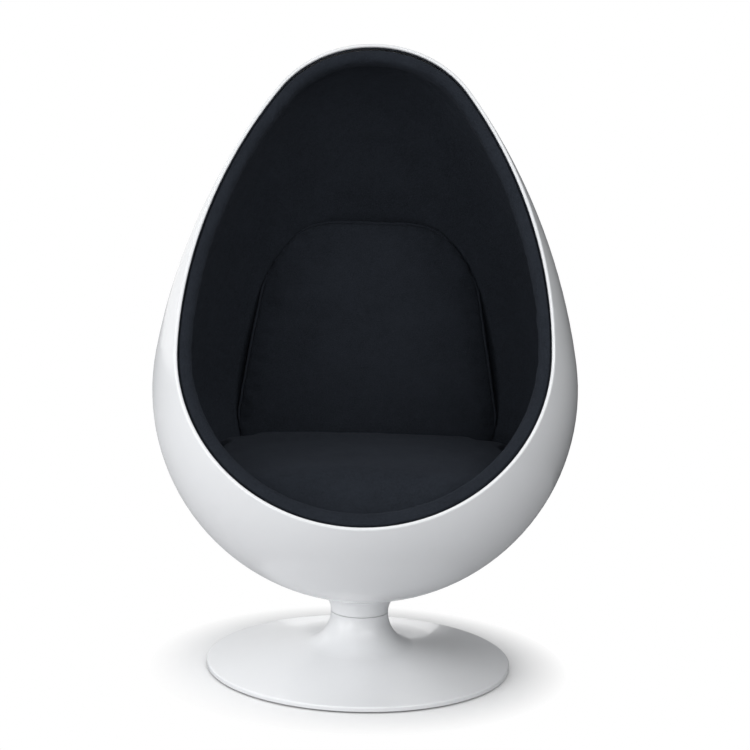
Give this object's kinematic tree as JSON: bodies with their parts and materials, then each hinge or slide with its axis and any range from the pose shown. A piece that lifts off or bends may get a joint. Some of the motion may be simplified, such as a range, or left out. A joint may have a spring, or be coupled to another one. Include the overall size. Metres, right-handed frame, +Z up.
{
  "type": "pod chair",
  "caption": "Egg-shaped lounge chair: a glossy white shell open at the front, dark padded lining, loose seat and back cushions, turning on a low trumpet pedestal.",
  "frame": {"origin": "where the swivel axis meets the floor", "axes": "+Z up along the swivel axis, the sitter looks along -Y, and +X is at the right of someone who faces the chair"},
  "size_m": [0.8558, 0.8065, 1.2689],
  "materials": {
    "white_gelcoat": "polished white gelcoat over glass fibre",
    "white_lacquer": "glossy white lacquer on cast aluminium",
    "navy_knit": "dark navy wool knit",
    "foam": "polyurethane foam",
    "tape": "hook-and-loop tape",
    "plywood": "sanded birch plywood",
    "zinc_steel": "zinc-plated steel",
    "ground_steel": "ground steel with a film of grease",
    "bronze": "plain bearing bronze",
    "nylon": "natural nylon",
    "gasket_rubber": "black sheet rubber",
    "black_plate": "black powder-coated steel",
    "felt": "pressed dark felt"
  },
  "bodies": {
    "pedestal": {"base_casting": "white_lacquer", "base_plate": "black_plate", "plate_screws": "zinc_steel", "floor_pad": "felt", "upper_bush": "bronze", "lower_bush": "bronze", "thrust_washer": "nylon"},
    "pod": {"shell": "white_gelcoat", "lining_foam": "foam", "lining_cover": "navy_knit", "edge_roll": "navy_knit", "seat_block": "navy_knit", "hook_strips": "tape", "loop_strips": "tape", "seat_cushion": "navy_knit", "back_cushion": "navy_knit", "collar": "white_lacquer", "collar_gasket": "gasket_rubber", "mount_pad": "plywood", "mount_plate": "zinc_steel", "mount_bolts": "zinc_steel", "bolt_washers": "zinc_steel", "spindle": "ground_steel", "spindle_washer": "zinc_steel", "spindle_nut": "zinc_steel", "keeper_washer": "ground_steel", "retaining_ring": "ground_steel"}
  },
  "joints": [
    {"name": "swivel", "type": "hinge", "parent": "pedestal", "child": "pod", "pos_m": [0, 0, 0.113], "axis": [0, 0, 1], "continuous": true}
  ]
}
